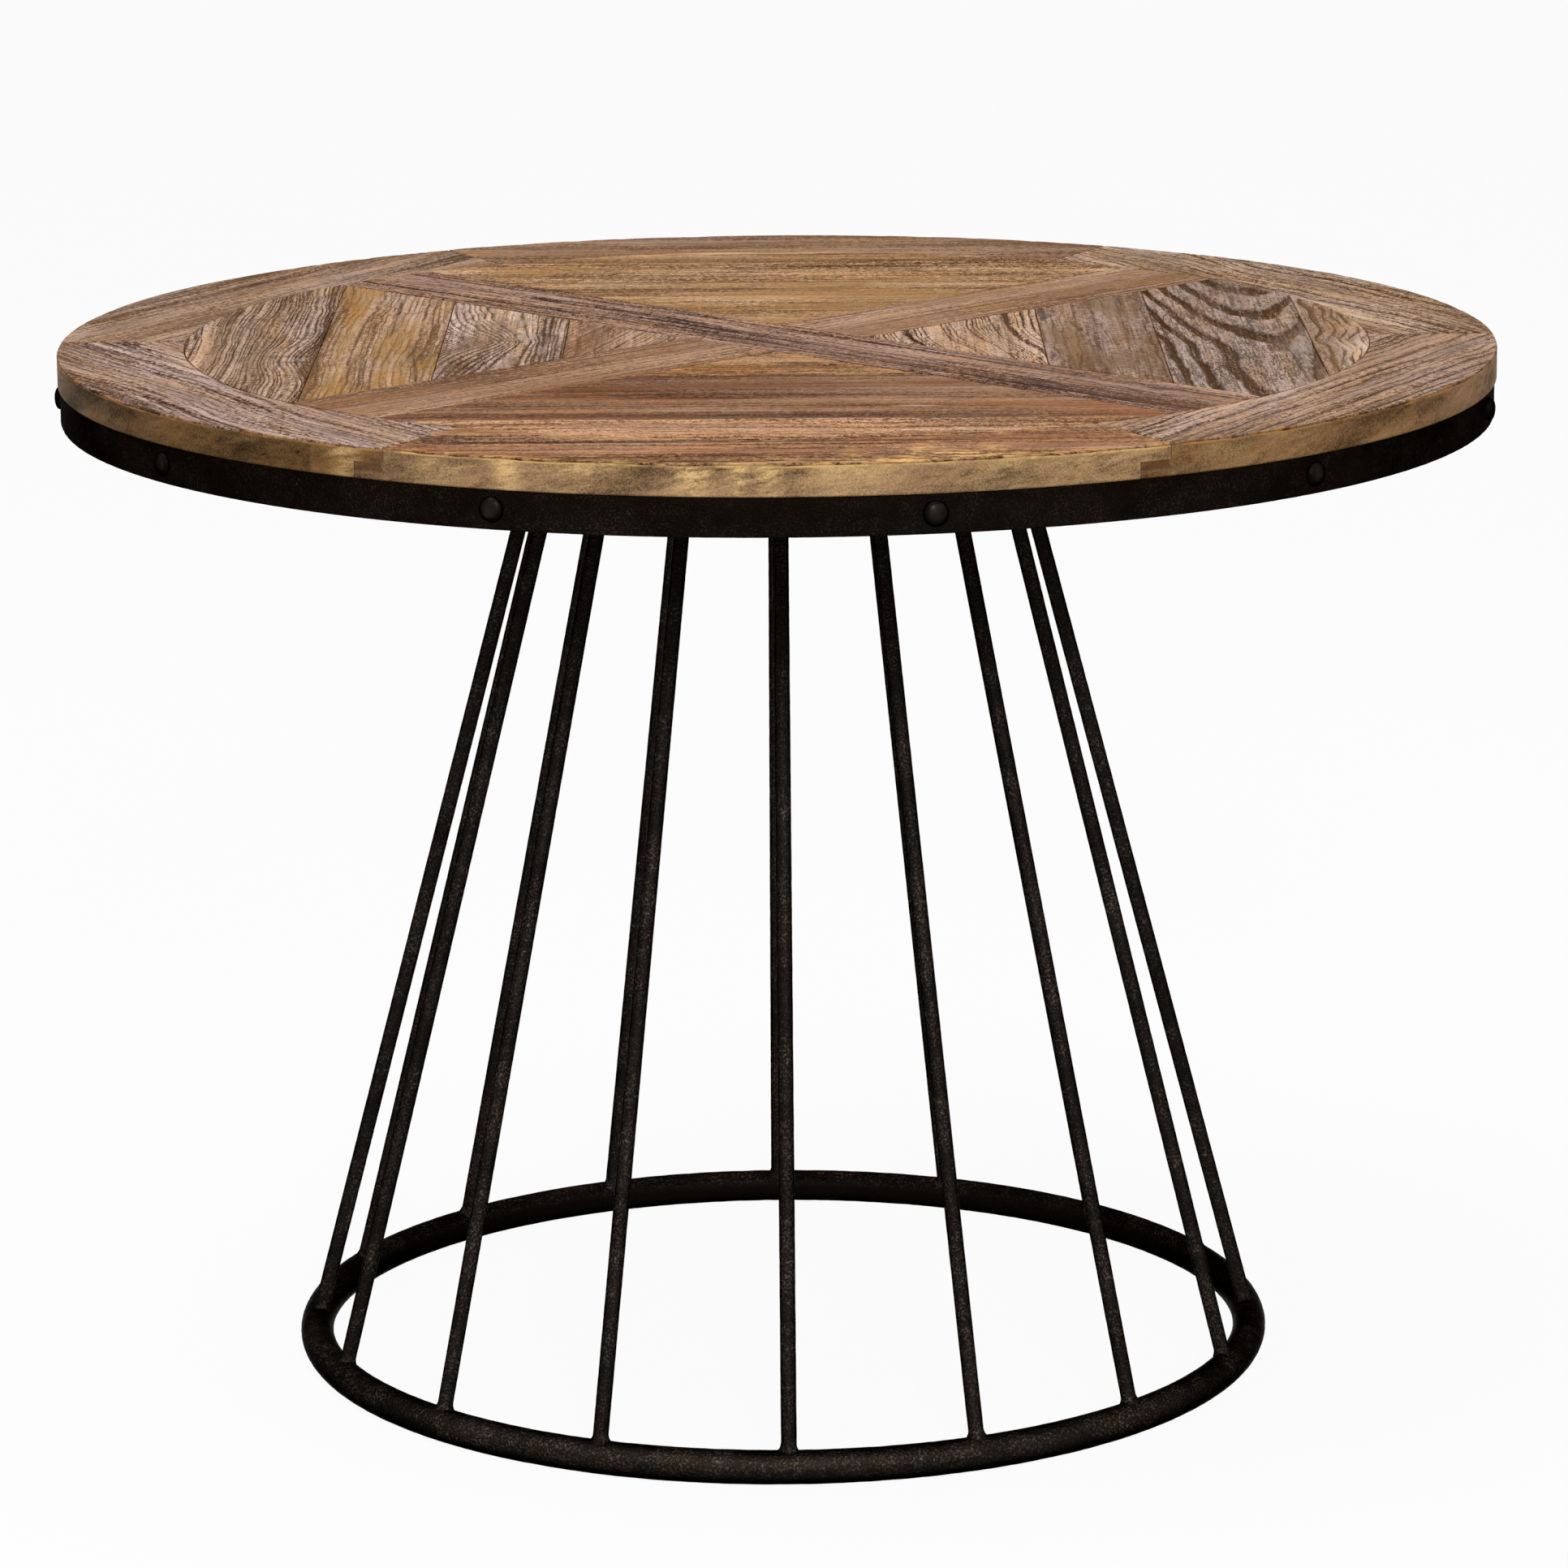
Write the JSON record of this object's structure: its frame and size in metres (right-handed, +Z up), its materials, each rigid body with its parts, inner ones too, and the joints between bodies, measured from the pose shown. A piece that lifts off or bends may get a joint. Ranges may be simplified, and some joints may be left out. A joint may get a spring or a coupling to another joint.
{
  "type": "round dining table",
  "caption": "Round dining table: reclaimed wood top with a ring border, crossed braces and planks, edged by a riveted steel band, on a flared cage of steel rods and a floor ring.",
  "frame": {"origin": "centre of the base ring, on the floor", "axes": "+Z up, -Y towards the front of the table, +X to the right seen from the front"},
  "size_m": [1.0694, 1.0684, 0.775],
  "materials": {
    "border_wood": "worn, matt oiled",
    "brace_wood": "worn, matt oiled",
    "plank_wood": "weathered, matt oiled",
    "plywood": "raw",
    "dowel_wood": "raw",
    "black_steel": "black hammered paint, satin",
    "screw_steel": "zinc plated"
  },
  "bodies": {
    "root": {"band_rivets": "black_steel", "base_ring": "black_steel", "border_far": "border_wood", "border_far_left": "border_wood", "border_far_right": "border_wood", "border_near": "border_wood", "border_near_left": "border_wood", "border_near_right": "border_wood", "brace_dowels": "dowel_wood", "brace_far_right": "brace_wood", "brace_near_left": "brace_wood", "brace_through": "brace_wood", "far_plank_1": "plank_wood", "far_plank_2": "plank_wood", "far_plank_3": "plank_wood", "far_plank_4": "plank_wood", "left_plank_1": "plank_wood", "left_plank_2": "plank_wood", "left_plank_3": "plank_wood", "left_plank_4": "plank_wood", "lower_welds": "black_steel", "mounting_plate": "black_steel", "mounting_screws": "screw_steel", "near_plank_1": "plank_wood", "near_plank_2": "plank_wood", "near_plank_3": "plank_wood", "near_plank_4": "plank_wood", "right_plank_1": "plank_wood", "right_plank_2": "plank_wood", "right_plank_3": "plank_wood", "right_plank_4": "plank_wood", "rod_01": "black_steel", "rod_02": "black_steel", "rod_03": "black_steel", "rod_04": "black_steel", "rod_05": "black_steel", "rod_06": "black_steel", "rod_07": "black_steel", "rod_08": "black_steel", "rod_09": "black_steel", "rod_10": "black_steel", "rod_11": "black_steel", "rod_12": "black_steel", "rod_13": "black_steel", "rod_14": "black_steel", "rod_15": "black_steel", "rod_16": "black_steel", "steel_band": "black_steel", "sub_top": "plywood", "top_screws": "screw_steel", "upper_welds": "black_steel"}
  },
  "joints": []
}
